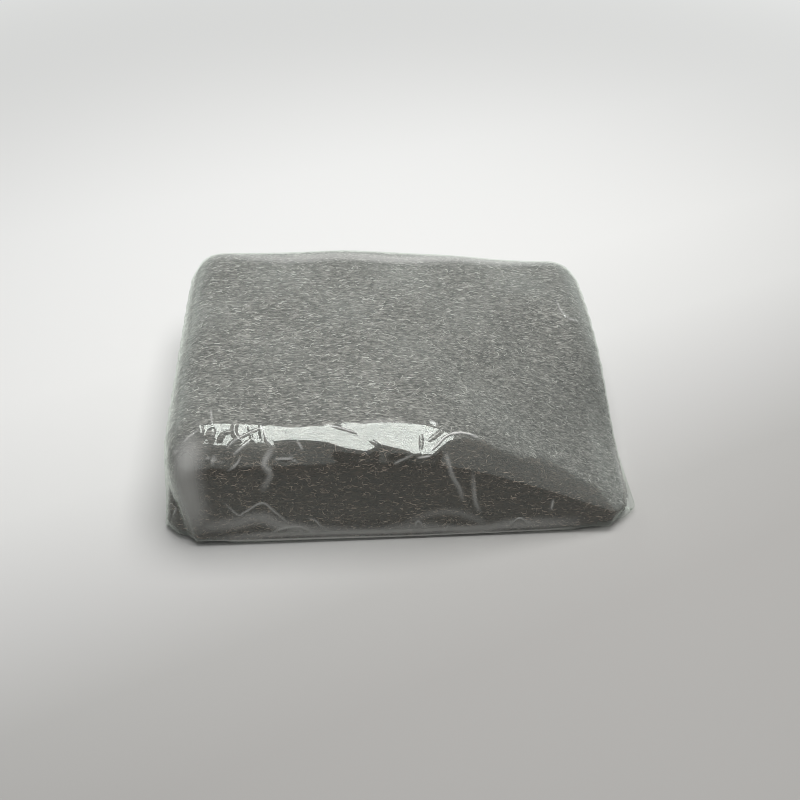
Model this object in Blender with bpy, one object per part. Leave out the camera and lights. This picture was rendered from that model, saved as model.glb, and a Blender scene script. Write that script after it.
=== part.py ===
"""A steel wool hand pad in a clear film wrap, lying on the seam side of the wrap.

X runs along the pad and Y across it, with the front at -Y. The origin is on the surface that
the pad lies on, under the middle of the wrap.
"""

import math

import bmesh
import bpy

# The wool pad, in metres
WOOL_LENGTH = 0.1040
WOOL_WIDTH = 0.0785
WOOL_HEIGHT = 0.0275
WOOL_EDGE = 0.0090
WOOL_BASE_EDGE = 0.0030
WOOL_CELL = 0.0044
FOLD_LAYERS = 3
FOLD_GROOVE = 0.0007

# How the pad has settled: domed, thinner to the right, and flattened at its front right corner
DOME = 0.0008
RIGHT_TAPER = 0.0050
TAPER_LENGTH = 0.0676
CORNER_SLUMP = 0.0195
SLUMP_LENGTH = 0.0485
SLUMP_WIDTH = 0.0590
SLUMP_BEND = 1.5
LUMP = 0.0004
LUMP_PITCH = 0.0310
LUMP_TURN = 1.0
END_LEAN = 0.0022

# The film, and how it lies on the wool
FILM = 0.0001
PLY_GAP = 0.0002
CLEARANCE = 0.0006
END_SLACK = 0.0016
FRONT_SKIRT = 0.0022
BACK_SKIRT = 0.0010
FILM_EDGE = 0.0082
FILM_CORNER = 0.0055
BASE_CORNER = 0.0010
HEM_RADIUS = 0.0013
LEAST_ARC = 0.4

# The seam along the underside, and the ends turned under
LAP_WIDTH = 0.0120
LAP_STEP = 0.0010
TAIL_LENGTH = 0.0100
TAIL_TAPER = 0.0040
RAMP_LENGTH = 0.0050

# Gathers in the film
END_PLEATS = 8
PLEAT_DEPTH = 0.0009
FRONT_FOLD = 0.0009
FRONT_FOLD_PITCH = 0.0190

# Steps along the film
FLAT_STEPS = 6
EDGE_STEPS = 4
FACE_STEPS = 4
HEM_STEPS = 4
TAIL_STEPS = 2
WALL_STEPS = 4
HEM_ARC_STEPS = 3

# Worked out from the sizes above
PLY = FILM + PLY_GAP
TAIL_STACK = 3 * PLY
BED = PLY + FILM + CLEARANCE
FILM_LENGTH = WOOL_LENGTH + 2 * (END_SLACK + CLEARANCE + FILM)
FILM_HEIGHT = BED + WOOL_HEIGHT + CLEARANCE + FILM
FILM_WALL = WOOL_WIDTH / 2 + CLEARANCE + FILM
WOOL_SHIFT = (FRONT_SKIRT - BACK_SKIRT) / 2
TURN_INSET = HEM_RADIUS
RAMP_END = FILM_LENGTH / 2 - HEM_RADIUS - TAIL_LENGTH - 2 * PLY
RAMP_START = RAMP_END - RAMP_LENGTH
FIRM_HEIGHT = TAIL_STACK + BED


def smooth(value):
    """0 below 0, 1 above 1, and an S curve between them."""
    share = min(max(value, 0.0), 1.0)
    return share * share * (3 - 2 * share)


def height_share(x, y):
    """How much of its full height the pad has over (x, y)."""
    from_right = WOOL_LENGTH / 2 - x
    from_front = WOOL_WIDTH / 2 + y - WOOL_SHIFT
    along = 1 - 2 * from_right / WOOL_LENGTH
    across = 2 * from_front / WOOL_WIDTH - 1
    loss = DOME * (along**2 + across**2) / 2
    loss += RIGHT_TAPER * smooth(1 - from_right / TAPER_LENGTH)
    slump = max(1 - from_right / SLUMP_LENGTH, 0) ** SLUMP_BEND
    loss += CORNER_SLUMP * slump * smooth(1 - from_front / SLUMP_WIDTH)
    turns = 2 * math.pi / LUMP_PITCH
    loss += LUMP * (math.sin(turns * x + LUMP_TURN) * math.cos(turns * y) + 1)
    return 1 - loss / WOOL_HEIGHT


def settled(x, y, z):
    """The point after the pad has settled: its ends lean in, and its top sinks.

    What lies under the wool keeps its height, and what lies over it keeps its distance.
    """
    x *= 1 - END_LEAN / (WOOL_LENGTH / 2) * z / WOOL_HEIGHT
    if z <= FIRM_HEIGHT:
        return (x, y, z)
    inside = min(z, BED + WOOL_HEIGHT)
    sunk = FIRM_HEIGHT + (inside - FIRM_HEIGHT) * height_share(x, y)
    return (x, y, sunk + z - inside)


def base_rise(x):
    """How far the underside of the film is lifted by the ends that are turned under it."""
    return TAIL_STACK * smooth((abs(x) - RAMP_START) / (RAMP_END - RAMP_START))


def new_material(name, colour, metallic, roughness, alpha=1.0):
    """A Principled material."""
    material = bpy.data.materials.new(name)
    material.use_nodes = True
    shader = material.node_tree.nodes["Principled BSDF"]
    shader.inputs["Base Color"].default_value = (*colour, 1)
    shader.inputs["Metallic"].default_value = metallic
    shader.inputs["Roughness"].default_value = roughness
    shader.inputs["Alpha"].default_value = alpha
    return material


def new_object(name, shape, material, parent):
    """A smooth shaded object from a bmesh, under the part's empty."""
    mesh = bpy.data.meshes.new(name)
    shape.to_mesh(mesh)
    shape.free()
    mesh.materials.append(material)
    mesh.shade_smooth()
    mesh.set_sharp_from_angle(angle=math.radians(50))
    piece = bpy.data.objects.new(name, mesh)
    piece.parent = parent
    bpy.context.collection.objects.link(piece)
    return piece


def rounded(value, half, radius):
    """The nearest place on the straight core of a side, and what is left beyond it."""
    core = min(max(value, radius - half), half - radius)
    return core, value - core


def fold_groove(level, levels):
    """How deep the wool is drawn in at this level of its end faces, between two folded layers."""
    per_layer = levels // FOLD_LAYERS
    between = level % per_layer == 0 and 0 < level < levels
    return FOLD_GROOVE if between else 0.0


def wool_point(cell, counts):
    """The place of one lattice point: a block with rounded edges, grooved at its ends."""
    halves = (WOOL_LENGTH / 2, WOOL_WIDTH / 2, WOOL_HEIGHT / 2)
    edges = (WOOL_EDGE, WOOL_EDGE, WOOL_EDGE if 2 * cell[2] > counts[2] else WOOL_BASE_EDGE)
    cores = []
    beyond = []
    for index, count, half, edge in zip(cell, counts, halves, edges):
        core, rest = rounded(half * (2 * index / count - 1), half, edge)
        cores.append(core)
        beyond.append(rest / edge)
    reach = math.hypot(*beyond)
    x, y, z = (core + edge * rest / reach for core, edge, rest in zip(cores, edges, beyond))
    if cell[0] in (0, counts[0]):
        x -= math.copysign(fold_groove(cell[2], counts[2]), x)
    y += WOOL_SHIFT
    z += WOOL_HEIGHT / 2 + BED + base_rise(x) * (0.5 - z / WOOL_HEIGHT)
    return settled(x, y, z)


def lattice_sides(counts):
    """Each face of a block's lattice, as four lattice points in outward order."""
    for axis in range(3):
        first, second = (axis + 1) % 3, (axis + 2) % 3
        for level in (0, counts[axis]):
            for a in range(counts[first]):
                for b in range(counts[second]):
                    ring = [(a, b), (a + 1, b), (a + 1, b + 1), (a, b + 1)]
                    corners = []
                    for i, j in ring if level else ring[::-1]:
                        cell = [0, 0, 0]
                        cell[axis] = level
                        cell[first] = i
                        cell[second] = j
                        corners.append(tuple(cell))
                    yield corners


def wool_pad(material, parent):
    """The pad: a batt of steel wool folded over its ends, with soft round edges."""
    counts = (
        round(WOOL_LENGTH / WOOL_CELL),
        round(WOOL_WIDTH / WOOL_CELL),
        2 * FOLD_LAYERS,
    )
    shape = bmesh.new()
    points = {}
    for corners in lattice_sides(counts):
        for cell in corners:
            if cell not in points:
                points[cell] = shape.verts.new(wool_point(cell, counts))
        shape.faces.new([points[cell] for cell in corners])
    return new_object("wool_pad", shape, material, parent)


def arc(centre, radius, start, end, steps):
    """Points along a circular arc, with its angles in degrees."""
    angles = [math.radians(start + (end - start) * n / steps) for n in range(steps + 1)]
    return [(centre[0] + radius * math.cos(a), centre[1] + radius * math.sin(a)) for a in angles]


def line(start, end, steps):
    """Evenly spaced points after start, with end as the last."""
    shares = [n / steps for n in range(1, steps + 1)]
    return [tuple(a + (b - a) * share for a, b in zip(start, end)) for share in shares]


def mirrored(station):
    """The same station of the film at the left."""
    top, base, cut, flare, push = station
    return (-top[0], top[1]), (-base[0], base[1]), cut, flare, (-push[0], push[1])


def flat_stations():
    """Where the film is cut across its straight middle, from the centre to the end's edge."""
    middle = [RAMP_START * n / FLAT_STEPS for n in range(FLAT_STEPS + 1)]
    return middle + [RAMP_END, FILM_LENGTH / 2 - FILM_EDGE]


def top_path():
    """The film over the right half, in X and Z: along the top, down the end and turned under."""
    end = FILM_LENGTH / 2
    path = [(x, FILM_HEIGHT) for x in flat_stations()]
    path += arc((end - FILM_EDGE, FILM_HEIGHT - FILM_EDGE), FILM_EDGE, 90, 0, EDGE_STEPS)[1:]
    path += line(path[-1], (end, HEM_RADIUS), FACE_STEPS)
    path += arc((end - HEM_RADIUS, HEM_RADIUS), HEM_RADIUS, 0, -90, HEM_STEPS)[1:]
    return path + line(path[-1], (end - HEM_RADIUS - TAIL_LENGTH, 0), TAIL_STEPS)


def base_path():
    """The film under the right half, point for point with top_path, turned back under itself."""
    turn = FILM_LENGTH / 2 - TURN_INSET
    path = [(x, base_rise(x)) for x in flat_stations()]
    path += line(path[-1], (turn, TAIL_STACK), EDGE_STEPS + FACE_STEPS)
    path += arc((turn, TAIL_STACK - PLY_GAP / 2), PLY_GAP / 2, 90, -90, HEM_STEPS)[1:]
    return path + line(path[-1], (turn - TAIL_LENGTH, TAIL_STACK - PLY_GAP), TAIL_STEPS)


def corner_cuts():
    """How much narrower the film is at each point of top_path, on each side."""
    start = FILM_LENGTH / 2 - FILM_CORNER
    cuts = []
    for x, _ in top_path()[: len(flat_stations()) + EDGE_STEPS]:
        cuts.append(FILM_CORNER - math.sqrt(FILM_CORNER**2 - max(x - start, 0) ** 2))
    cuts += [FILM_CORNER] * (FACE_STEPS + HEM_STEPS)
    return cuts + [FILM_CORNER + TAIL_TAPER * n / TAIL_STEPS for n in range(1, TAIL_STEPS + 1)]


def base_flares(cuts):
    """How much wider the film is at each point of base_path than over it, on each side."""
    above = len(cuts) - FACE_STEPS - HEM_STEPS - TAIL_STEPS
    flares = [max(cut - BASE_CORNER, 0) for cut in cuts[:above]]
    shares = [n / FACE_STEPS for n in range(1, FACE_STEPS + 1)]
    flares += [flares[-1] * math.sqrt(1 - share**2) for share in shares]
    return flares + [0] * (HEM_STEPS + TAIL_STEPS)


def pleat_pushes():
    """How far, in X and Z, a pleat's ridge stands out at each point of top_path."""
    pushes = [(0.0, 0.0)] * len(flat_stations())
    for n in range(1, EDGE_STEPS + 1):
        turn = math.radians(90 * (1 - n / EDGE_STEPS))
        depth = PLEAT_DEPTH * n / EDGE_STEPS
        pushes.append((depth * math.cos(turn), depth * math.sin(turn)))
    pushes += [(PLEAT_DEPTH, 0.0)] * FACE_STEPS
    pushes += [(PLEAT_DEPTH * (1 - n / HEM_STEPS), 0.0) for n in range(1, HEM_STEPS + 1)]
    return pushes + [(0.0, 0.0)] * TAIL_STEPS


def section(height, cut):
    """The film's cross section, as (y, height) points with a pleat flag.

    It starts at the inner flap of the seam, runs to the front, over the top and back under to
    the free edge of the outer flap.
    """
    lap = LAP_WIDTH / 2
    wall = FILM_WALL - cut
    edge = min(FILM_EDGE, LEAST_ARC * height)
    hem = min(HEM_RADIUS, LEAST_ARC * height)
    points = [(lap, PLY), (-lap - LAP_STEP, PLY), (-lap - 3 * LAP_STEP, 0)]
    points += arc((hem - wall, hem), hem, 270, 180, HEM_ARC_STEPS)
    front = line((-wall, hem), (-wall, height - edge), WALL_STEPS)
    points += front[:-1] + arc((edge - wall, height - edge), edge, 180, 90, EDGE_STEPS)
    first = len(points)
    points += line((edge - wall, height), (wall - edge, height), 2 * END_PLEATS)
    last = len(points)
    points += arc((wall - edge, height - edge), edge, 90, 0, EDGE_STEPS)[1:]
    points += line((wall, height - edge), (wall, hem), WALL_STEPS)
    points += arc((wall - hem, hem), hem, 0, -90, HEM_ARC_STEPS)[1:]
    points.append((-lap, 0))
    ridges = range(first, last, 2)
    return [(y, up, index in ridges) for index, (y, up) in enumerate(points)]


def film_row(top, base, cut, flare, push):
    """One row of the film's points, across the pad in the slanting plane from base to top."""
    height = math.dist(top, base)
    row = []
    for y, up, ridge in section(height, cut):
        share = up / height
        rise = up / FILM_HEIGHT
        x = base[0] + (top[0] - base[0]) * share
        z = base[1] + (top[1] - base[1]) * share
        if ridge:
            drawn = height_share(x, y)
            x += push[0] * drawn
            z += push[1] * drawn
        skirt = FRONT_SKIRT if y < 0 else BACK_SKIRT
        fold = FRONT_FOLD * (1 + math.cos(2 * math.pi * x / FRONT_FOLD_PITCH)) / 2
        fold *= math.sin(math.pi * share) if y < 0 and height > 2 * FILM_EDGE else 0
        out = skirt * (1 - rise) + flare * (1 - share) + fold
        y += out * y / FILM_WALL + WOOL_SHIFT
        row.append(settled(x, y, z))
    return row


def film_wrap(material, parent):
    """The film: one sheet round the pad, lapped underneath, with its ends turned under."""
    cuts = corner_cuts()
    half = list(zip(top_path(), base_path(), cuts, base_flares(cuts), pleat_pushes()))
    stations = [mirrored(station) for station in reversed(half[1:])] + half
    shape = bmesh.new()
    grid = [[shape.verts.new(point) for point in film_row(*station)] for station in stations]
    for left, right in zip(grid, grid[1:]):
        for n in range(len(left) - 1):
            shape.faces.new((left[n], right[n], right[n + 1], left[n + 1]))
    piece = new_object("film_wrap", shape, material, parent)
    sheet = piece.modifiers.new("sheet", "SOLIDIFY")
    sheet.thickness = FILM
    sheet.offset = -1
    return piece


def main():
    for old in list(bpy.data.objects):
        bpy.data.objects.remove(old)
    pack = bpy.data.objects.new("steel_wool_pack", None)
    bpy.context.collection.objects.link(pack)
    wool = new_material("steel_wool", (0.25, 0.25, 0.235), 0.6, 0.5)
    film = new_material("clear_film", (0.9, 0.92, 0.9), 0.0, 0.12, 0.25)
    wool_pad(wool, pack)
    film_wrap(film, pack)


main()
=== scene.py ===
"""The looks of a steel wool hand pad in its clear film wrap.

The wool is a soft body with a matted surface under a layer of modelled strands. The film is one
thin creased sheet round it. X runs along the pad, and the front is at -Y.
"""

import math
import random

import bmesh
import bpy
import numpy as np
from mathutils import Matrix, Vector, noise
from mathutils.bvhtree import BVHTree
from mathutils.kdtree import KDTree

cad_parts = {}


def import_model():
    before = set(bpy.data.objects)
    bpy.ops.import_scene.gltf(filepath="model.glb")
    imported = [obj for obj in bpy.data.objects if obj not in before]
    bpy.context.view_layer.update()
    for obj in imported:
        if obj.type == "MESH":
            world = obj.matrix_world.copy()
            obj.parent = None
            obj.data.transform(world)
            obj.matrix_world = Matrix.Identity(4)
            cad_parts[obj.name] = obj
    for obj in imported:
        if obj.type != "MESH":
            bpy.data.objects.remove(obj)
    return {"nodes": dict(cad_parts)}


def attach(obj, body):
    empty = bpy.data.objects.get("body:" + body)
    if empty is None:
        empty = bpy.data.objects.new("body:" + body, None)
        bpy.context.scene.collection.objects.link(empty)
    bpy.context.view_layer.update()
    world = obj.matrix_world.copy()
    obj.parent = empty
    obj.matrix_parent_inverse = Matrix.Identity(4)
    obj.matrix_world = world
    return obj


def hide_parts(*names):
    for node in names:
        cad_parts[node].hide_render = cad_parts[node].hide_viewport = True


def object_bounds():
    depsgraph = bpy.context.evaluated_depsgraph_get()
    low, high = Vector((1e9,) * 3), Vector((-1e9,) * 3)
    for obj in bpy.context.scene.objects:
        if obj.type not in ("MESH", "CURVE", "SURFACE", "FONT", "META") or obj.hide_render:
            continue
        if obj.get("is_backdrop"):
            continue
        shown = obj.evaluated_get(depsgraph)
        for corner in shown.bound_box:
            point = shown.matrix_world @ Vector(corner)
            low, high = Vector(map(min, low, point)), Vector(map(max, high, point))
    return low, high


# The camera, as fitted to the photograph
CAMERA_ELEVATION = 41.05
CAMERA_TURN = -4.89
CAMERA_ROLL = 1.52
CAMERA_DISTANCE = 0.2370
CAMERA_AIM = (0.0007, -0.0074, 0.0120)
CAMERA_LENS = 43.5
CAMERA_CLIP = (0.005, 20.0)
SENSOR = 36.0
PHOTO_SIZE = 800
TRANSPARENT_BOUNCES = 24
PIXEL_FILTER = 1.0

# The light and the pale surroundings
LAMP_PLACE = (0.030, 0.020, 0.42)
LAMP_SIZE = (0.32, 0.30)
LAMP_POWER = 2.1
ROOM_COLOUR = (0.98, 1.0, 0.99)
ROOM_LIGHT = 0.16
ROOM_SEEN = 0.92
FLOOR_SIZE = 2.0
FLOOR_DROP = 0.00002
FLOOR_BOUNCE = 0.60
FLOOR_SPAN = (-0.08, 0.14)
FLOOR_SLANT = -0.42
FAR_SPAN = (0.15, 0.50)
FAR_TONE = (0.86, 0.87, 0.86)
# Painted shade on the floor: its colour darkens towards the front and the right
FLOOR_SHADE_TONES = (
    (0.0, (0.415, 0.405, 0.392)),
    (0.12, (0.445, 0.438, 0.425)),
    (0.25, (0.560, 0.555, 0.545)),
    (0.40, (0.690, 0.688, 0.675)),
    (0.60, (0.770, 0.768, 0.755)),
    (1.0, (0.815, 0.815, 0.805)),
)

# The wool's matted surface
VOXEL = 0.0008
MERGE_REACH = VOXEL / 100
RELAX_SHARE = 0.5
RELAX_ROUNDS = 12
FILL_GAP = 0.00040
FILL_START = 0.0020
FILL_REACH = 0.0080
FILL_EVENING = (8, 3, 2, 1, 1)
MAT_LUMP = 0.00012
MAT_LUMP_PITCH = 0.0045
MAT_GRAIN = 0.00007
MAT_GRAIN_LENGTH = 0.0030
MAT_GRAIN_WIDTH = 0.0006
MAT_STREAKS = (650, 3000, 3000)
MAT_CLUMPS = (350, 500, 500)
STREAK_SHARE = 0.8
MAT_METAL = 0.55
MAT_ROUGHNESS = 0.55
MAT_BUMP = (0.9, 0.0004)

# Greys of the mat, from gaps to ridges, and of the strands: place on the ramp, level, warmth
MAT_GREYS = ((0.38, 0.02, 0.05), (0.5, 0.095, 0.05), (0.62, 0.27, 0.04))
STRAND_GREYS = ((0.0, 0.05, 0.05), (0.4, 0.125, 0.05), (0.7, 0.30, 0.04), (1.0, 0.70, 0.02))

# On the right, painted shade darkens the top to the tone of the long sides, as far back as this line of
# the photograph's pixels
PAINTED_SHADE_EDGE = (
    (436, 458), (447, 440), (465, 434), (480, 437), (500, 447), (520, 454),
    (540, 452), (560, 462), (575, 474), (595, 483), (610, 500), (620, 511),
)
PAINTED_SHADE_BLEND = 0.0010
PAINTED_SHADE_LEVEL = 0.74

# Painted shade on the wool: its tint by how far its surface turns from the top and the ends towards the
# long sides. 1 is the top and the ends, and 0 is the long sides, which are painted darker and browner
MAT_SHADE_TONES = (
    (0.0, (0.22, 0.155, 0.11)),
    (0.74, (0.22, 0.165, 0.12)),
    (0.87, (0.56, 0.54, 0.50)),
    (0.93, (0.84, 0.84, 0.81)),
    (0.97, (1.0, 1.0, 0.97)),
)
STRAND_SHADE_TONES = (
    (0.0, (1.0, 0.82, 0.70)),
    (0.44, (0.86, 0.70, 0.60)),
    (0.74, (0.50, 0.42, 0.37)),
    (0.87, (0.62, 0.60, 0.56)),
    (0.93, (0.84, 0.84, 0.81)),
    (0.97, (1.0, 1.0, 0.97)),
)

# The strands on it
STRAND_PIECES = 4
STRANDS_PER_PIECE = 8600
STRAND_RADIUS = (0.000042, 0.000078)
STRAND_LENGTH = (0.0004, 0.0021)
STRAND_STEP = 0.00042
STRAND_SIDES = 3
STRAND_LIFT = 0.00020
STRAND_SINK = 0.00012
STRANDS_BELOW = 0.12
STRANDS_FRONT = 0.95
STRANDS_BACK = 0.55
STRANDS_ENDS = 0.50
CURL_SHARE = 0.16
SIDE_CURLS = 0.35
SIDE_NORMAL = -0.6
STRAND_HEADING = 0.26
CURL_HEADING = 1.2
STRAND_TURN = 0.05
CURL_TURN = (0.25, 0.75)
WAVE = (0.15, 0.5)
WAVE_TURN = 1.7
LIFT_SHARES = (0.1, 1.0)
RISE_POWER = 0.7
TIP_WIDTH = 0.45
STRAND_METAL = 0.75
STRAND_ROUGHNESS = 0.42
SEED = 7

# Sizes as in the solids, but for the pleats, which are 0.9 mm deep there
WOOL_LENGTH = 0.1040
WOOL_WIDTH = 0.0785
WOOL_HEIGHT = 0.0275
FILM = 0.0001
PLY_GAP = 0.0002
CLEARANCE = 0.0006
END_SLACK = 0.0016
FRONT_SKIRT = 0.0022
BACK_SKIRT = 0.0010
FILM_EDGE = 0.0082
FILM_CORNER = 0.0055
BASE_CORNER = 0.0010
HEM_RADIUS = 0.0013
LEAST_ARC = 0.4
LAP_WIDTH = 0.0120
LAP_STEP = 0.0010
TAIL_LENGTH = 0.0100
TAIL_TAPER = 0.0040
RAMP_LENGTH = 0.0050
END_PLEATS = 8
PLEAT_DEPTH = 0.0004
DOME = 0.0008
RIGHT_TAPER = 0.0050
TAPER_LENGTH = 0.0676
CORNER_SLUMP = 0.0195
SLUMP_LENGTH = 0.0485
SLUMP_WIDTH = 0.0590
SLUMP_BEND = 1.5
LUMP = 0.0004
LUMP_PITCH = 0.0310
LUMP_TURN = 1.0
END_LEAN = 0.0022
PLEAT_POWER = 4
PLEATS_FROM = 0.5

# How fine the film's mesh is
FILM_ROWS_MIDDLE = 120
FILM_ROWS_EDGE = 9
FILM_ROWS_FACE = 14
FILM_ROWS_HEM = 4
FILM_ROWS_TAIL = 5
FRONT_STEPS = 30
RIDGE_OVER = 4
RIDGE_FACET = 13
RIDGE_UNDER = 7
TOP_STEPS = 36
BACK_EDGE_STEPS = 8
BACK_STEPS = 14
HEM_STEPS = 4
BASE_STEPS = 6
VISUAL_FILM = 0.00006

# How the film mirrors, wrinkles and clouds
MIRROR_LEAST = 0.038
MIRROR_SLANT = 0.75
MIRROR_POWER = 4.0
MIRROR_COLOUR = (0.95, 1.0, 0.95)
MIRROR_ROUGHNESS = 0.08
WRINKLES = (420, 420, 420)
WRINKLE_BUMP = (0.10, 0.0004)
CLEAR_COLOUR = (0.985, 0.99, 0.985)
HAZE_SHEEN_COLOUR = (0.76, 0.75, 0.73)
HAZE_LEAST = 0.014

# The flat facet that the film makes along the front ridge, in degrees down from the top. Each row of
# FACET holds X and the angles at which the facet starts and ends there.
FACET_NORMAL = 25.0
BROW_NORMAL = 7.0
FACET_RETURN = 20.0
FACET_LIP = 3.0
FACET = (
    (-0.054, 22.0, 26.0),
    (-0.050, 15.0, 25.0),
    (-0.046, 11.0, 27.0),
    (-0.042, 8.0, 30.0),
    (-0.034, 9.0, 33.0),
    (-0.030, 12.0, 33.0),
    (-0.026, 18.0, 34.0),
    (-0.022, 21.0, 38.0),
    (-0.018, 21.0, 43.0),
    (-0.014, 21.0, 52.0),
    (-0.009, 20.0, 57.0),
    (-0.006, 15.0, 47.0),
    (-0.002, 12.0, 53.0),
    (0.002, 13.0, 59.0),
    (0.006, 17.0, 57.0),
    (0.0080, 19.0, 44.0),
    (0.0095, 24.0, 34.0),
    (0.0110, 27.0, 31.0),
    (0.060, 27.0, 31.0),
)

# Creases and hazy folds of the film: places in the photograph in pixels, half width, height and
# whitening. The whitening is partly the film's own haze along its folds and partly painted highlight
# and sheen, as in the thin bright crease lines, the light streaks down the front, the band along the
# back edge, the soft edge over the ridge highlight and the left front corner. A fold without height
# changes only the whitening.
CREASES = (
    (((262, 427), (247, 434), (234, 441), (227, 448)), 0.00045, 0.00030, 0.25),
    (((250, 440), (241, 448), (233, 455)), 0.00045, 0.00030, 0.30),
    (((240, 458), (236, 465), (228, 471)), 0.00035, 0.00018, 0.45),
    (((201, 428), (188, 438), (176, 452), (165, 463)), 0.00040, 0.00030, 0.45),
    (((211, 410), (212, 425)), 0.00035, 0.00025, 0.35),
    (((196, 421), (201, 431), (199, 441)), 0.00110, 0.00045, 0.06),
    (((206, 436), (213, 430), (211, 441)), 0.00080, 0.00035, 0.06),
    (((238, 420), (234, 431), (240, 442)), 0.00090, 0.00045, 0.05),
    (((219, 440), (225, 433), (234, 431)), 0.00060, 0.00030, 0.05),
    (((249, 426), (252, 441)), 0.00040, 0.00030, 0.0),
    (((260, 424), (262, 439)), 0.00040, 0.00030, 0.0),
    (((262, 425), (267, 440), (275, 448)), 0.00035, 0.00025, 0.30),
    (((204, 457), (215, 461), (224, 462)), 0.00030, 0.00020, 0.45),
    (((297, 441), (303, 450)), 0.00030, 0.00020, 0.45),
    (((275, 459), (290, 459), (298, 463)), 0.00030, 0.00020, 0.45),
    # A crease down the front film, with a painted highlight along it
    (((271, 450), (264, 465), (270, 475), (262, 490)), 0.00110, 0.00030, 0.34),
    (((325, 424), (340, 428), (357, 433)), 0.00030, 0.00025, 0.50),
    (((370, 440), (377, 444), (381, 449)), 0.00040, 0.00030, 0.0),
    (((395, 464), (404, 459), (413, 455)), 0.00035, 0.00030, 0.60),
    (((417, 458), (431, 456)), 0.00040, 0.00030, 0.75),
    (((421, 434), (421, 450)), 0.00050, 0.00035, 0.0),
    (((428, 441), (440, 432), (447, 425)), 0.00060, 0.00035, 0.05),
    (((431, 421), (437, 425)), 0.00055, 0.00030, 0.40),
    (((431, 450), (437, 445), (445, 437), (455, 433), (465, 433), (478, 437)), 0.00032, 0.00030, 0.95),
    # Creases down the front film, with painted highlights along them
    (((446, 455), (452, 475), (460, 490), (463, 500)), 0.00080, 0.00030, 0.36),
    (((473, 475), (475, 500), (480, 512)), 0.00070, 0.00030, 0.36),
    (((553, 500), (551, 510)), 0.00045, 0.00025, 0.55),
    (((556, 300), (562, 312), (573, 320), (588, 321)), 0.00040, 0.00025, 0.28),
    (((520, 270), (527, 263), (540, 261)), 0.00040, 0.00020, 0.20),
    (((185, 310), (193, 298)), 0.00040, 0.00025, 0.30),
    (((175, 357), (190, 350), (198, 347)), 0.00040, 0.00025, 0.35),
    (((172, 368), (185, 358)), 0.00040, 0.00025, 0.30),
    (((167, 395), (178, 385)), 0.00045, 0.00025, 0.35),
    (((172, 505), (176, 510), (169, 526)), 0.00045, 0.00025, 0.40),
    (((612, 517), (622, 515), (627, 519)), 0.00045, 0.00020, 0.35),
    (
        ((198, 541), (270, 540), (330, 538), (400, 536), (450, 534), (520, 531), (575, 528)),
        0.00050, 0.00010, 1.0,
    ),
    (
        ((192, 537), (270, 535), (330, 533), (400, 531), (450, 529), (520, 526), (575, 523)),
        0.00150, 0.0, 0.45,
    ),
    (((405, 523), (430, 514), (455, 512), (478, 520), (492, 530)), 0.00160, 0.0, 0.16),
    (((614, 445), (620, 470), (625, 490), (626, 506)), 0.00170, 0.0, 0.18),
    (((578, 275), (590, 330), (603, 390), (613, 435)), 0.00180, 0.0, 0.24),
    (((188, 290), (180, 335), (173, 385), (168, 430), (167, 500)), 0.00220, 0.0, 0.30),
    # Painted sheen along the film's back edge
    (((215, 256), (300, 258), (400, 259), (500, 262), (560, 264)), 0.00300, 0.0, 0.30),
    (((225, 503), (238, 515), (245, 512), (262, 503), (275, 512), (296, 530)), 0.00045, 0.00020, 0.48),
    (((268, 534), (285, 528), (300, 527), (312, 534)), 0.00045, 0.00020, 0.50),
    (((308, 518), (316, 521), (325, 532)), 0.00040, 0.00020, 0.45),
    (((413, 532), (418, 521), (425, 531)), 0.00045, 0.00020, 0.50),
    (((444, 532), (449, 524)), 0.00040, 0.00020, 0.45),
    (((506, 529), (519, 518), (531, 526)), 0.00040, 0.00020, 0.45),
    (((190, 526), (230, 524), (262, 518), (283, 526), (330, 532), (380, 532)), 0.00280, 0.0, 0.34),
    (((370, 532), (415, 527), (445, 530), (480, 530), (513, 524), (575, 522)), 0.00240, 0.0, 0.32),
    # Painted light on the film's left front corner
    (((190, 448), (184, 470), (186, 490), (194, 524)), 0.00520, 0.0, 0.58),
    # Painted highlight: the soft upper edge of the ridge highlight
    (((345, 427), (362, 424), (385, 421), (415, 424)), 0.00110, 0.0, 0.12),
)
CREASE_PITCH = 0.0001
CREASE_CUTS = 2
CREASE_TIP = 0.02
CREASE_FADE = 0.5
CUT_REACH = 1.5
EDGE_REACH = 0.0003

# Worked out from the sizes above
PLY = FILM + PLY_GAP
TAIL_STACK = 3 * PLY
BED = PLY + FILM + CLEARANCE
FILM_LENGTH = WOOL_LENGTH + 2 * (END_SLACK + CLEARANCE + FILM)
FILM_HEIGHT = BED + WOOL_HEIGHT + CLEARANCE + FILM
FILM_WALL = WOOL_WIDTH / 2 + CLEARANCE + FILM
WOOL_SHIFT = (FRONT_SKIRT - BACK_SKIRT) / 2
RAMP_END = FILM_LENGTH / 2 - HEM_RADIUS - TAIL_LENGTH - 2 * PLY
RAMP_START = RAMP_END - RAMP_LENGTH
FIRM_HEIGHT = TAIL_STACK + BED


def smooth(value):
    """0 below 0, 1 above 1, and an S curve between them."""
    share = min(max(value, 0.0), 1.0)
    return share * share * (3 - 2 * share)


def height_share(x, y):
    """How much of its full height the pad has over (x, y)."""
    from_right = WOOL_LENGTH / 2 - x
    from_front = WOOL_WIDTH / 2 + y - WOOL_SHIFT
    along = 1 - 2 * from_right / WOOL_LENGTH
    across = 2 * from_front / WOOL_WIDTH - 1
    loss = DOME * (along**2 + across**2) / 2
    loss += RIGHT_TAPER * smooth(1 - from_right / TAPER_LENGTH)
    slump = max(1 - from_right / SLUMP_LENGTH, 0) ** SLUMP_BEND
    loss += CORNER_SLUMP * slump * smooth(1 - from_front / SLUMP_WIDTH)
    turns = 2 * math.pi / LUMP_PITCH
    loss += LUMP * (math.sin(turns * x + LUMP_TURN) * math.cos(turns * y) + 1)
    return 1 - loss / WOOL_HEIGHT


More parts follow.
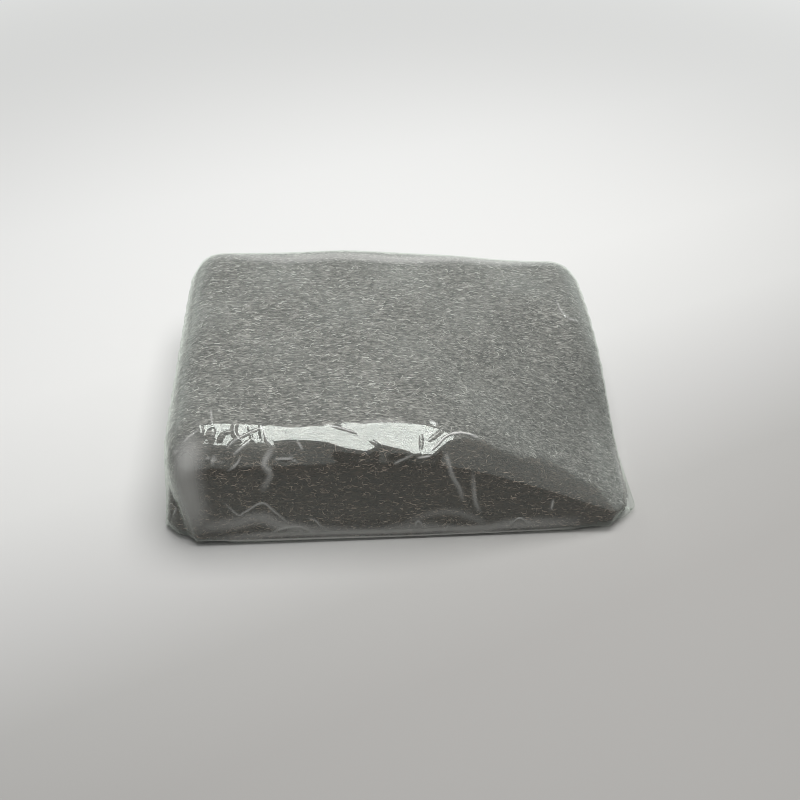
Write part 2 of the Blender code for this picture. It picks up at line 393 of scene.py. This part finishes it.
def settled(x, y, z):
    """The point after the pad has settled: its ends lean in, and its top sinks."""
    x *= 1 - END_LEAN / (WOOL_LENGTH / 2) * z / WOOL_HEIGHT
    if z <= FIRM_HEIGHT:
        return (x, y, z)
    inside = min(z, BED + WOOL_HEIGHT)
    sunk = FIRM_HEIGHT + (inside - FIRM_HEIGHT) * height_share(x, y)
    return (x, y, sunk + z - inside)


def link(obj):
    bpy.context.scene.collection.objects.link(obj)
    return obj


def mesh_object(name, vertices, faces):
    """An object from plain lists of points and faces."""
    mesh = bpy.data.meshes.new(name)
    mesh.from_pydata(vertices, [], faces)
    mesh.update()
    return link(bpy.data.objects.new(name, mesh))


def dress(obj, material, slot, *nodes):
    """The piece gets its material, rides on the pad's one body, and stands for CAD nodes."""
    obj.data.materials.clear()
    obj.data.materials.append(material)
    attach(obj, "root")
    if nodes:
        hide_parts(*nodes)


class Tree:
    """A material's node tree, with short calls for what is used here."""

    def __init__(self, name):
        self.material = bpy.data.materials.new(name)
        self.material.use_nodes = True
        self.nodes = self.material.node_tree.nodes
        self.links = self.material.node_tree.links
        self.nodes.clear()
        self.output = self.nodes.new("ShaderNodeOutputMaterial")

    def node(self, kind, **values):
        made = self.nodes.new("ShaderNode" + kind)
        for key, value in values.items():
            setattr(made, key, value)
        return made

    def put(self, value, socket):
        """Links an output to a socket, or sets the socket to a plain value."""
        if isinstance(value, bpy.types.NodeSocket):
            self.links.new(value, socket)
        else:
            socket.default_value = value

    def place(self, scale):
        """Object coordinates times a scale for each axis."""
        where = self.node("TexCoord")
        mapping = self.node("Mapping")
        self.put(where.outputs["Object"], mapping.inputs["Vector"])
        self.put(scale, mapping.inputs["Scale"])
        return mapping.outputs["Vector"]

    def noise(self, scale, detail, roughness=0.55, distortion=0.0):
        """Noise with a scale for each axis."""
        made = self.node("TexNoise")
        self.put(self.place(scale), made.inputs["Vector"])
        self.put(1.0, made.inputs["Scale"])
        self.put(detail, made.inputs["Detail"])
        self.put(roughness, made.inputs["Roughness"])
        self.put(distortion, made.inputs["Distortion"])
        return made.outputs["Fac"]

    def ramp(self, factor, stops):
        """A colour ramp from (place, colour) stops."""
        made = self.node("ValToRGB")
        self.put(factor, made.inputs["Fac"])
        elements = made.color_ramp.elements
        while len(elements) < len(stops):
            elements.new(0.5)
        for element, (place, colour) in zip(elements, stops):
            element.position = place
            element.color = (*colour, 1)
        return made.outputs["Color"]

    def maths(self, operation, a, b=0.0, clamp=False):
        made = self.node("Math", operation=operation, use_clamp=clamp)
        self.put(a, made.inputs[0])
        self.put(b, made.inputs[1])
        return made.outputs["Value"]

    def bump(self, height, strength, distance):
        made = self.node("Bump")
        self.put(height, made.inputs["Height"])
        self.put(strength, made.inputs["Strength"])
        self.put(distance, made.inputs["Distance"])
        return made.outputs["Normal"]

    def finish(self, shader):
        self.put(shader, self.output.inputs["Surface"])
        return self.material


def grey(level, warm=0.0):
    """A near neutral colour, a little warmer or cooler than grey."""
    return (level * (1 + warm), level, level * (1 - warm))


def greys(stops):
    """Colour stops from places, levels and warmths."""
    return [(place, grey(level, warm)) for place, level, warm in stops]


def with_side_shade(tree, colour, tones):
    """The colour with painted shade: darker and browner where the wool's surface faces the front or the
    back.
    """
    lit_level = tree.node("Attribute", attribute_name="side_shade_paint")
    shade_tint = tree.ramp(lit_level.outputs["Fac"], tones)
    mixed = tree.node("VectorMath", operation="MULTIPLY")
    tree.put(colour, mixed.inputs[0])
    tree.put(shade_tint, mixed.inputs[1])
    return mixed.outputs["Vector"]


def mat_material():
    """The wool under the strands: dark matted steel, streaked along X, with painted shade on its long
    sides.
    """
    tree = Tree("matted_wool")
    streaks = tree.maths("MULTIPLY", tree.noise(MAT_STREAKS, 3.0, 0.6, 0.6), STREAK_SHARE)
    clumps = tree.maths("MULTIPLY", tree.noise(MAT_CLUMPS, 2.0), 1 - STREAK_SHARE)
    mixed = tree.maths("ADD", streaks, clumps)
    colour = tree.ramp(mixed, greys(MAT_GREYS))
    shader = tree.node("BsdfPrincipled")
    tree.put(with_side_shade(tree, colour, MAT_SHADE_TONES), shader.inputs["Base Color"])
    tree.put(MAT_METAL, shader.inputs["Metallic"])
    tree.put(MAT_ROUGHNESS, shader.inputs["Roughness"])
    tree.put(tree.bump(mixed, *MAT_BUMP), shader.inputs["Normal"])
    return tree.finish(shader.outputs["BSDF"])


def strand_material():
    """Bright fine steel, no two strands quite alike, with painted shade on the long sides."""
    tree = Tree("steel_strands")
    tone = tree.node("NewGeometry").outputs["Random Per Island"]
    colour = tree.ramp(tone, greys(STRAND_GREYS))
    shader = tree.node("BsdfPrincipled")
    tree.put(with_side_shade(tree, colour, STRAND_SHADE_TONES), shader.inputs["Base Color"])
    tree.put(STRAND_METAL, shader.inputs["Metallic"])
    tree.put(STRAND_ROUGHNESS, shader.inputs["Roughness"])
    return tree.finish(shader.outputs["BSDF"])


def film_material():
    """Clear film: it mirrors at a slant, lets through the rest, and is a little hazy, with whitening
    along its folds that is partly painted highlight and sheen.
    """
    tree = Tree("clear_film")
    facing = tree.node("LayerWeight")
    tree.put(0.5, facing.inputs["Blend"])
    slant = tree.maths("POWER", facing.outputs["Facing"], MIRROR_POWER)
    mirror = tree.maths("ADD", tree.maths("MULTIPLY", slant, MIRROR_SLANT), MIRROR_LEAST, clamp=True)
    gloss = tree.node("BsdfGlossy")
    tree.put((*MIRROR_COLOUR, 1), gloss.inputs["Color"])
    tree.put(MIRROR_ROUGHNESS, gloss.inputs["Roughness"])
    tree.put(tree.bump(tree.noise(WRINKLES, 3.0), *WRINKLE_BUMP), gloss.inputs["Normal"])
    clear = tree.node("BsdfTransparent")
    tree.put((*CLEAR_COLOUR, 1), clear.inputs["Color"])
    haze_sheen_shader = tree.node("BsdfDiffuse")
    tree.put((*HAZE_SHEEN_COLOUR, 1), haze_sheen_shader.inputs["Color"])
    # Whitening, partly the film's own haze and partly painted highlight and sheen
    haze_and_sheen = tree.node("Attribute", attribute_name="haze_and_sheen")
    haze_sheen_amount = tree.maths("ADD", haze_and_sheen.outputs["Fac"], HAZE_LEAST, clamp=True)
    haze_sheen_mix = tree.node("MixShader")
    tree.put(haze_sheen_amount, haze_sheen_mix.inputs[0])
    tree.put(clear.outputs[0], haze_sheen_mix.inputs[1])
    tree.put(haze_sheen_shader.outputs[0], haze_sheen_mix.inputs[2])
    mixed = tree.node("MixShader")
    tree.put(mirror, mixed.inputs[0])
    tree.put(haze_sheen_mix.outputs[0], mixed.inputs[1])
    tree.put(gloss.outputs[0], mixed.inputs[2])
    return tree.finish(mixed.outputs[0])


def fill(mat, film):
    """The wool swells until it fills the film."""
    tree = BVHTree.FromObject(film, bpy.context.evaluated_depsgraph_get())
    count = len(mat.data.vertices)
    ends = np.array([edge.vertices[:] for edge in mat.data.edges])
    shares = np.bincount(ends.ravel(), minlength=count) + 1
    for rounds in FILL_EVENING:
        moves = np.zeros(count)
        normals = [vertex.normal.copy() for vertex in mat.data.vertices]
        for index, (vertex, normal) in enumerate(zip(mat.data.vertices, normals)):
            start = vertex.co - normal * FILL_START
            distance = tree.ray_cast(start, normal, FILL_REACH)[3]
            if distance is not None:
                moves[index] = distance - FILL_START - FILL_GAP
        for _ in range(rounds):
            total = moves + np.bincount(ends[:, 0], moves[ends[:, 1]], count)
            total += np.bincount(ends[:, 1], moves[ends[:, 0]], count)
            moves = total / shares
        for vertex, normal, move in zip(mat.data.vertices, normals, moves):
            vertex.co += normal * float(move)
        mat.data.update()


def mat_body(node, film, edge):
    """The wool's surface: the CAD solid made even, swollen to the film, then roughened a little."""
    mat = link(bpy.data.objects.new("wool_mat", node.data.copy()))
    shape = bmesh.new()
    shape.from_mesh(mat.data)
    bmesh.ops.remove_doubles(shape, verts=shape.verts, dist=MERGE_REACH)
    shape.to_mesh(mat.data)
    shape.free()
    even = mat.modifiers.new("even", "REMESH")
    even.mode = "VOXEL"
    even.voxel_size = VOXEL
    relax = mat.modifiers.new("relax", "SMOOTH")
    relax.factor = RELAX_SHARE
    relax.iterations = RELAX_ROUNDS
    graph = bpy.context.evaluated_depsgraph_get()
    mat.data = bpy.data.meshes.new_from_object(mat.evaluated_get(graph))
    mat.modifiers.clear()
    fill(mat, film)
    places = [vertex.co.copy() for vertex in mat.data.vertices]
    normals = [vertex.normal.copy() for vertex in mat.data.vertices]
    for vertex, place, normal in zip(mat.data.vertices, places, normals):
        x, y, z = place
        across = MAT_GRAIN_WIDTH
        lump = noise.noise(place / MAT_LUMP_PITCH)
        grain = noise.noise(Vector((x / MAT_GRAIN_LENGTH, y / across, z / across)))
        vertex.co = place + normal * (MAT_LUMP * lump + MAT_GRAIN * grain)
    store_side_shade(mat, [painted_light_share(place, normal, edge) for place, normal in zip(places, normals)])
    mat.data.update()
    mat.data.shade_smooth()
    return mat


def painted_shade_line(film):
    """The X and Y places of the line up to which painted shade darkens the top."""
    tree = BVHTree.FromObject(film, bpy.context.evaluated_depsgraph_get())
    places = [seen_at(tree, pixel) for pixel in PAINTED_SHADE_EDGE]
    known = sorted((place.x, place.y) for place in places if place)
    return [x for x, _ in known], [y for _, y in known]


def painted_light_share(place, normal, edge):
    """How much painted light a point keeps: 1 on the top and the ends, less on the front and the back.
    """
    share = math.hypot(normal.x, normal.z)
    if not edge[0][0] < place.x < edge[0][-1]:
        return share
    # Painted shade over the top on the right, up to the line
    shaded_over = smooth((np.interp(place.x, *edge) - place.y) / PAINTED_SHADE_BLEND)
    return share - shaded_over * max(share - PAINTED_SHADE_LEVEL, 0)


def store_side_shade(obj, shares):
    """Stores each point's share of painted light where the materials find it."""
    layer = obj.data.attributes.new("side_shade_paint", "FLOAT", "POINT")
    layer.data.foreach_set("value", shares)


def grain_direction(normal):
    """Which way the strands run: along the pad, and down over its ends."""
    x, y, z = normal
    run = Vector((math.copysign(abs(z) + abs(y), z), 0, -x))
    run -= normal * run.dot(normal)
    return run.normalized()


def strand_path(tree, start, normal, length, draws):
    """A strand's points and outward directions, as it winds over the surface."""
    steps = max(2, round(length / STRAND_STEP))
    curled = draws.random() < CURL_SHARE + SIDE_CURLS * (normal.y < SIDE_NORMAL)
    heading = draws.gauss(0, CURL_HEADING if curled else STRAND_HEADING)
    if curled:
        turn = draws.uniform(*CURL_TURN) * draws.choice((-1, 1))
    else:
        turn = draws.gauss(0, STRAND_TURN)
    wave = draws.uniform(*WAVE)
    phase = draws.uniform(0, 2 * math.pi)
    lift = draws.uniform(*LIFT_SHARES) * STRAND_LIFT
    place = start
    path = []
    for step in range(steps + 1):
        share = step / steps
        rise = (lift + STRAND_SINK) * math.sin(math.pi * share) ** RISE_POWER - STRAND_SINK
        path.append((place + normal * rise, normal))
        along = grain_direction(normal)
        angle = heading + turn * step + wave * math.sin(phase + WAVE_TURN * step)
        across = normal.cross(along)
        place = place + STRAND_STEP * (along * math.cos(angle) + across * math.sin(angle))
        place, normal, _, _ = tree.find_nearest(place)
    return path


def tube(path, radius):
    """The points and faces of a closed thin tube with tapered ends."""
    points = []
    for index, (place, outward) in enumerate(path):
        before = path[max(index - 1, 0)][0]
        after = path[min(index + 1, len(path) - 1)][0]
        along = (after - before).normalized()
        side = along.cross(outward).normalized()
        up = side.cross(along)
        width = radius * (TIP_WIDTH if index in (0, len(path) - 1) else 1.0)
        for corner in range(STRAND_SIDES):
            angle = math.radians(90 + 360 * corner / STRAND_SIDES)
            points.append(place + width * (side * math.cos(angle) + up * math.sin(angle)))
    faces = []
    for ring in range(len(path) - 1):
        low = ring * STRAND_SIDES
        for corner in range(STRAND_SIDES):
            after = (corner + 1) % STRAND_SIDES
            high = low + STRAND_SIDES
            faces.append((low + corner, low + after, high + after, high + corner))
    faces.append(tuple(range(STRAND_SIDES))[::-1])
    last = (len(path) - 1) * STRAND_SIDES
    faces.append(tuple(last + corner for corner in range(STRAND_SIDES)))
    return points, faces


def strand_starts(mat, count, draws):
    """Random places on the surface, more of them where the wool shows best."""
    mesh = mat.data
    weights = []
    for face in mesh.polygons:
        x, y, z = face.normal
        share = STRANDS_BELOW + max(z, 0) + STRANDS_FRONT * max(-y, 0)
        share += STRANDS_BACK * max(y, 0) + STRANDS_ENDS * abs(x)
        weights.append(face.area * share)
    picked = draws.choices(range(len(mesh.polygons)), weights=weights, k=count)
    for index in picked:
        face = mesh.polygons[index]
        corners = [mesh.vertices[v].co for v in face.vertices]
        a, b = draws.random(), draws.random()
        edge_a = corners[0].lerp(corners[1], a)
        edge_b = corners[-1].lerp(corners[-2], a)
        yield edge_a.lerp(edge_b, b), face.normal.copy()


def strands(mat, edge, number, draws):
    """One group of strands, scattered over the whole pad."""
    tree = BVHTree.FromObject(mat, bpy.context.evaluated_depsgraph_get())
    vertices = []
    faces = []
    shares = []
    for start, normal in strand_starts(mat, STRANDS_PER_PIECE, draws):
        length = draws.uniform(*STRAND_LENGTH)
        path = strand_path(tree, start, normal, length, draws)
        points, sides = tube(path, draws.uniform(*STRAND_RADIUS))
        first = len(vertices)
        vertices.extend(points)
        shares.extend([painted_light_share(start, normal, edge)] * len(points))
        faces.extend(tuple(first + v for v in side) for side in sides)
    piece = mesh_object(f"wool_strands_{number}", vertices, faces)
    store_side_shade(piece, shares)
    piece.data.shade_smooth()
    return piece


def base_rise(x):
    """How far the underside of the film is lifted by the ends that are turned under it."""
    return TAIL_STACK * smooth((abs(x) - RAMP_START) / (RAMP_END - RAMP_START))


def arc(centre, radius, start, end, steps):
    """Points along a circular arc, with its angles in degrees."""
    angles = [math.radians(start + (end - start) * n / steps) for n in range(steps + 1)]
    return [(centre[0] + radius * math.cos(a), centre[1] + radius * math.sin(a)) for a in angles]


def line(start, end, steps):
    """Evenly spaced points after start, with end as the last."""
    shares = [n / steps for n in range(1, steps + 1)]
    return [tuple(a + (b - a) * share for a, b in zip(start, end)) for share in shares]


def flat_stations():
    """Where the film's rows lie along its straight middle, from the centre to the end's edge."""
    last = FILM_LENGTH / 2 - FILM_EDGE
    count = FILM_ROWS_MIDDLE // 2
    return [last * n / count for n in range(count + 1)]


def top_path():
    """The film over the right half, in X and Z: along the top, down the end and turned under."""
    end = FILM_LENGTH / 2
    path = [(x, FILM_HEIGHT) for x in flat_stations()]
    path += arc((end - FILM_EDGE, FILM_HEIGHT - FILM_EDGE), FILM_EDGE, 90, 0, FILM_ROWS_EDGE)[1:]
    path += line(path[-1], (end, HEM_RADIUS), FILM_ROWS_FACE)
    path += arc((end - HEM_RADIUS, HEM_RADIUS), HEM_RADIUS, 0, -90, FILM_ROWS_HEM)[1:]
    return path + line(path[-1], (end - HEM_RADIUS - TAIL_LENGTH, 0), FILM_ROWS_TAIL)


def base_path():
    """The film under the right half, point for point with top_path."""
    turn = FILM_LENGTH / 2 - HEM_RADIUS
    path = [(x, base_rise(x)) for x in flat_stations()]
    path += line(path[-1], (turn, TAIL_STACK), FILM_ROWS_EDGE + FILM_ROWS_FACE)
    path += arc((turn, TAIL_STACK - PLY_GAP / 2), PLY_GAP / 2, 90, -90, FILM_ROWS_HEM)[1:]
    return path + line(path[-1], (turn - TAIL_LENGTH, TAIL_STACK - PLY_GAP), FILM_ROWS_TAIL)


def corner_cuts():
    """How much narrower the film is at each point of top_path, on each side."""
    start = FILM_LENGTH / 2 - FILM_CORNER
    cuts = []
    for x, _ in top_path()[: len(flat_stations()) + FILM_ROWS_EDGE]:
        cuts.append(FILM_CORNER - math.sqrt(FILM_CORNER**2 - max(x - start, 0) ** 2))
    cuts += [FILM_CORNER] * (FILM_ROWS_FACE + FILM_ROWS_HEM)
    tail = [TAIL_TAPER * n / FILM_ROWS_TAIL for n in range(1, FILM_ROWS_TAIL + 1)]
    return cuts + [FILM_CORNER + taper for taper in tail]


def base_flares(cuts):
    """How much wider the film is at each point of base_path than over it, on each side."""
    above = len(cuts) - FILM_ROWS_FACE - FILM_ROWS_HEM - FILM_ROWS_TAIL
    flares = [max(cut - BASE_CORNER, 0) for cut in cuts[:above]]
    shares = [n / FILM_ROWS_FACE for n in range(1, FILM_ROWS_FACE + 1)]
    flares += [flares[-1] * math.sqrt(1 - share**2) for share in shares]
    return flares + [0] * (FILM_ROWS_HEM + FILM_ROWS_TAIL)


def pleat_shares():
    """How far the pleats are drawn out at each point of top_path, from 0 to 1."""
    shares = [0.0] * len(flat_stations())
    shares += [n / FILM_ROWS_EDGE for n in range(1, FILM_ROWS_EDGE + 1)]
    shares += [1.0] * FILM_ROWS_FACE
    shares += [1 - n / FILM_ROWS_HEM for n in range(1, FILM_ROWS_HEM + 1)]
    return shares + [0.0] * FILM_ROWS_TAIL


def facet_limits(x):
    """The angles down from the top where the facet starts and ends."""
    for (left, *from_limits), (right, *to_limits) in zip(FACET, FACET[1:]):
        if x <= right:
            share = min(max((x - left) / (right - left), 0), 1)
            return [a + (b - a) * share for a, b in zip(from_limits, to_limits)]
    return FACET[-1][1:]


def flat_reach(down, start, end, normal):
    """How much further out than an arc a flat face lies that leaves the arc at start."""
    inside = min(max(down, start), end)
    return math.cos(math.radians(start - normal)) / math.cos(math.radians(inside - normal))


def facet_reach(down, high, low):
    """How much further out than its arc the film lies on the front ridge."""
    brow = flat_reach(down, 0, high, BROW_NORMAL)
    out = brow * flat_reach(down, high, low, FACET_NORMAL) - 1
    return 1 + out * (1 - smooth((down - low) / FACET_RETURN))


def ridge(centre, radius, x):
    """The film over the front ridge, from the front to the top."""
    high, low = facet_limits(x)
    lip = low + FACET_LIP
    angles = [90 + (lip - 90) * n / (RIDGE_UNDER - 1) for n in range(1, RIDGE_UNDER)]
    angles += [low + (high - low) * n / RIDGE_FACET for n in range(RIDGE_FACET + 1)]
    angles += [high * (1 - n / RIDGE_OVER) for n in range(1, RIDGE_OVER + 1)]
    points = []
    for down in angles:
        reach = radius * facet_reach(down, high, low)
        angle = math.radians(down)
        points.append((centre[0] - reach * math.sin(angle), centre[1] + reach * math.cos(angle)))
    return points


def section(height, cut, x):
    """The film's cross section as (y, height) points, from the seam's inner flap round to its outer."""
    lap = LAP_WIDTH / 2
    wall = FILM_WALL - cut
    edge = min(FILM_EDGE, LEAST_ARC * height)
    hem = min(HEM_RADIUS, LEAST_ARC * height)
    points = [(lap, PLY), (-lap - LAP_STEP, PLY), (-lap - 3 * LAP_STEP, 0)]
    points += line(points[-1], (hem - wall, 0), BASE_STEPS)
    points += arc((hem - wall, hem), hem, 270, 180, HEM_STEPS)[1:]
    points += line((-wall, hem), (-wall, height - edge), FRONT_STEPS)
    points += ridge((edge - wall, height - edge), edge, x)
    points += line((edge - wall, height), (wall - edge, height), TOP_STEPS)
    points += arc((wall - edge, height - edge), edge, 90, 0, BACK_EDGE_STEPS)[1:]
    points += line((wall, height - edge), (wall, hem), BACK_STEPS)
    points += arc((wall - hem, hem), hem, 0, -90, HEM_STEPS)[1:]
    return points + line(points[-1], (-lap, 0), 2 * BASE_STEPS)


def film_row(top, base, cut, flare, pleat, side):
    """One row of the film's points, across the pad in the slanting plane from base to top."""
    height = math.dist(top, base)
    row = []
    for y, up in section(height, cut, side * top[0]):
        share = up / height
        rise = up / FILM_HEIGHT
        x = base[0] + (top[0] - base[0]) * share
        z = base[1] + (top[1] - base[1]) * share
        wave = math.cos(math.pi * y * END_PLEATS / FILM_WALL)
        crest = wave**PLEAT_POWER if share > PLEATS_FROM else 0
        x += PLEAT_DEPTH * pleat * crest * height_share(side * x, y)
        skirt = FRONT_SKIRT if y < 0 else BACK_SKIRT
        out = skirt * (1 - rise) + flare * (1 - share)
        y += out * y / FILM_WALL + WOOL_SHIFT
        row.append(settled(side * x, y, z))
    return row


def view_axes():
    """The camera's right, up and backward directions."""
    elevation, turn, roll = (math.radians(a) for a in (CAMERA_ELEVATION, CAMERA_TURN, CAMERA_ROLL))
    back = Vector((
        math.sin(turn) * math.cos(elevation),
        -math.cos(turn) * math.cos(elevation),
        math.sin(elevation),
    ))
    right = Vector((math.cos(turn), math.sin(turn), 0))
    up = back.cross(right)
    tilted_right = right * math.cos(roll) + up * math.sin(roll)
    tilted_up = up * math.cos(roll) - right * math.sin(roll)
    return tilted_right, tilted_up, back


def eye():
    """Where the camera is."""
    return Vector(CAMERA_AIM) + view_axes()[2] * CAMERA_DISTANCE


def seen_at(tree, pixel):
    """The place on a surface that the photograph shows at a pixel."""
    right, up, back = view_axes()
    focal = PHOTO_SIZE * CAMERA_LENS / SENSOR
    across = pixel[0] - PHOTO_SIZE / 2
    down = pixel[1] - PHOTO_SIZE / 2
    ray = (right * across - up * down - back * focal).normalized()
    return tree.ray_cast(eye(), ray)[0]


def smooth_line(corners):
    """Close points along a smooth curve through the corners, each with its share of the way."""
    ends = [2 * corners[0] - corners[1], *corners, 2 * corners[-1] - corners[-2]]
    line_points = []
    for a, b, c, d in zip(ends, ends[1:], ends[2:], ends[3:]):
        steps = max(1, round((c - b).length / CREASE_PITCH))
        for n in range(steps):
            t = n / steps
            pull = b * 2 + (c - a) * t + (a * 2 - b * 5 + c * 4 - d) * t**2
            line_points.append((pull + (b * 3 - a - c * 3 + d) * t**3) / 2)
    last = max(len(line_points) - 1, 1)
    return [(point, n / last) for n, point in enumerate(line_points)]


def crease(film):
    """Refines the film's mesh along its creases, and raises them."""
    tree = BVHTree.FromObject(film, bpy.context.evaluated_depsgraph_get())
    points = []
    for pixels, width, height, haze_sheen_share in CREASES:
        corners = [seen_at(tree, pixel) for pixel in pixels]
        if None in corners:
            continue
        points += [(point, share, width, height, haze_sheen_share) for point, share in smooth_line(corners)]
    shape = bmesh.new()
    shape.from_mesh(film.data)
    edges = list(shape.edges)
    middles = finder([(edge.verts[0].co + edge.verts[1].co) / 2 for edge in edges])
    close = set()
    for point, _, width, height, _ in points:
        if height:
            reach = CUT_REACH * width + EDGE_REACH
            close.update(index for _, index, _ in middles.find_range(point, reach))
    chosen = [edges[index] for index in close]
    bmesh.ops.subdivide_edges(shape, edges=chosen, cuts=CREASE_CUTS, use_grid_fill=True)
    shape.normal_update()
    # Whitening, partly the film's own haze and partly painted highlight and sheen
    haze_sheen_layer = shape.verts.layers.float.new("haze_and_sheen")
    vertices = list(shape.verts)
    places = finder([vertex.co for vertex in vertices])
    heights = {}
    for point, share, width, height, haze_sheen_share in points:
        fade = math.sin(math.pi * min(max(share, CREASE_TIP), 1 - CREASE_TIP)) ** CREASE_FADE
        for _, index, distance in places.find_range(point, width):
            crest = fade * smooth(1 - distance / width)
            vertex = vertices[index]
            heights[index] = max(heights.get(index, 0), height * crest)
            vertex[haze_sheen_layer] = max(vertex[haze_sheen_layer], haze_sheen_share * crest)
    moves = [(vertices[index], vertices[index].normal * height) for index, height in heights.items()]
    for vertex, move in moves:
        vertex.co += move
    shape.to_mesh(film.data)
    shape.free()


def finder(places):
    """A tree that finds the places near a point."""
    tree = KDTree(len(places))
    for index, place in enumerate(places):
        tree.insert(place, index)
    tree.balance()
    return tree


def film_sheet():
    """The film: one sheet round the pad, lapped underneath, with its ends turned under."""
    cuts = corner_cuts()
    half = list(zip(top_path(), base_path(), cuts, base_flares(cuts), pleat_shares()))
    rows = [film_row(*station, -1) for station in reversed(half[1:])]
    rows += [film_row(*station, 1) for station in half]
    across = len(rows[0])
    vertices = [point for row in rows for point in row]
    faces = []
    for row in range(len(rows) - 1):
        for n in range(across - 1):
            first = row * across + n
            faces.append((first, first + across, first + across + 1, first + 1))
    film = mesh_object("film_sheet", vertices, faces)
    crease(film)
    sheet = film.modifiers.new("sheet", "SOLIDIFY")
    sheet.thickness = VISUAL_FILM
    sheet.offset = -1
    graph = bpy.context.evaluated_depsgraph_get()
    film.data = bpy.data.meshes.new_from_object(film.evaluated_get(graph))
    film.modifiers.clear()
    film.data.shade_smooth()
    return film


def camera():
    """A camera where the photograph was taken from."""
    data = bpy.data.cameras.new("camera")
    data.sensor_width = SENSOR
    data.lens = CAMERA_LENS
    data.clip_start, data.clip_end = CAMERA_CLIP
    obj = link(bpy.data.objects.new("camera", data))
    obj.matrix_world = Matrix.Translation(eye()) @ Matrix(view_axes()).transposed().to_4x4()
    bpy.context.scene.camera = obj


def softbox(name, place, size, power):
    """A rectangular lamp pointing down."""
    data = bpy.data.lights.new(name, "AREA")
    data.shape = "RECTANGLE"
    data.size, data.size_y = size
    data.energy = power
    obj = link(bpy.data.objects.new(name, data))
    obj.location = place


def floor():
    """A plain pale floor with painted shade that makes it a little darker towards the front, and as
    pale as the room far away.
    """
    tree = Tree("pale_floor")
    where = tree.node("TexCoord")
    parts = tree.node("SeparateXYZ")
    tree.put(where.outputs["Object"], parts.inputs["Vector"])
    slant = tree.maths("MULTIPLY", parts.outputs["X"], FLOOR_SLANT)
    span = tree.node("MapRange")
    tree.put(tree.maths("ADD", parts.outputs["Y"], slant), span.inputs["Value"])
    tree.put(FLOOR_SPAN[0], span.inputs["From Min"])
    tree.put(FLOOR_SPAN[1], span.inputs["From Max"])
    colour = tree.ramp(span.outputs["Result"], FLOOR_SHADE_TONES)
    rays = tree.node("LightPath")
    seen = tree.maths("MAXIMUM", rays.outputs["Is Camera Ray"], rays.outputs["Is Glossy Ray"])
    level = tree.maths("ADD", tree.maths("MULTIPLY", seen, 1 - FLOOR_BOUNCE), FLOOR_BOUNCE)
    scaled = tree.node("VectorMath", operation="SCALE")
    tree.put(colour, scaled.inputs[0])
    tree.put(level, scaled.inputs["Scale"])
    shader = tree.node("BsdfDiffuse")
    tree.put(scaled.outputs["Vector"], shader.inputs["Color"])
    away = tree.node("VectorMath", operation="LENGTH")
    tree.put(where.outputs["Object"], away.inputs[0])
    far = tree.node("MapRange", interpolation_type="SMOOTHSTEP")
    tree.put(away.outputs["Value"], far.inputs["Value"])
    tree.put(FAR_SPAN[0], far.inputs["From Min"])
    tree.put(FAR_SPAN[1], far.inputs["From Max"])
    glow = tree.node("Emission")
    tree.put((*FAR_TONE, 1), glow.inputs["Color"])
    mixed = tree.node("MixShader")
    tree.put(tree.maths("MULTIPLY", far.outputs["Result"], seen), mixed.inputs[0])
    tree.put(shader.outputs["BSDF"], mixed.inputs[1])
    tree.put(glow.outputs[0], mixed.inputs[2])
    material = tree.finish(mixed.outputs[0])
    size = FLOOR_SIZE
    corners = [(-size, -size, 0), (size, -size, 0), (size, size, 0), (-size, size, 0)]
    plane = mesh_object("floor", corners, [(0, 1, 2, 3)])
    plane.location.z = -FLOOR_DROP
    plane.data.materials.append(material)
    plane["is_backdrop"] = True


def world():
    """Even soft light from all round."""
    made = bpy.data.worlds.new("studio")
    made.use_nodes = True
    nodes = made.node_tree.nodes
    links = made.node_tree.links
    rays = nodes.new("ShaderNodeLightPath")
    seen = nodes.new("ShaderNodeMath")
    seen.operation = "MAXIMUM"
    links.new(rays.outputs["Is Camera Ray"], seen.inputs[0])
    links.new(rays.outputs["Is Glossy Ray"], seen.inputs[1])
    level = nodes.new("ShaderNodeMapRange")
    level.inputs["To Min"].default_value = ROOM_LIGHT
    level.inputs["To Max"].default_value = ROOM_SEEN
    links.new(seen.outputs[0], level.inputs["Value"])
    background = nodes["Background"]
    background.inputs["Color"].default_value = (*ROOM_COLOUR, 1)
    links.new(level.outputs[0], background.inputs["Strength"])
    bpy.context.scene.world = made


def main():
    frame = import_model()
    cad_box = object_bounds()
    scene = bpy.context.scene
    scene.view_settings.view_transform = "Standard"
    scene.cycles.transparent_max_bounces = TRANSPARENT_BOUNCES
    scene.cycles.filter_width = PIXEL_FILTER
    camera()
    world()
    floor()
    softbox("overhead", LAMP_PLACE, LAMP_SIZE, LAMP_POWER)

    draws = random.Random(SEED)
    film = film_sheet()
    # The line up to which painted shade darkens the top on the right
    edge = painted_shade_line(film)
    mat = mat_body(frame["nodes"]["wool_pad"], film, edge)
    groups = STRAND_PIECES
    bright = strand_material()
    for number in range(1, groups + 1):
        dress(strands(mat, edge, number, draws), bright, "steel_wool")
    dress(mat, mat_material(), "steel_wool", "wool_pad")
    dress(film, film_material(), "clear_film", "film_wrap")

    seen_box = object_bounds()
    boxes = {"cad": cad_box, "visual": seen_box}
    {name: [list(corner) for corner in box] for name, box in boxes.items()}


main()
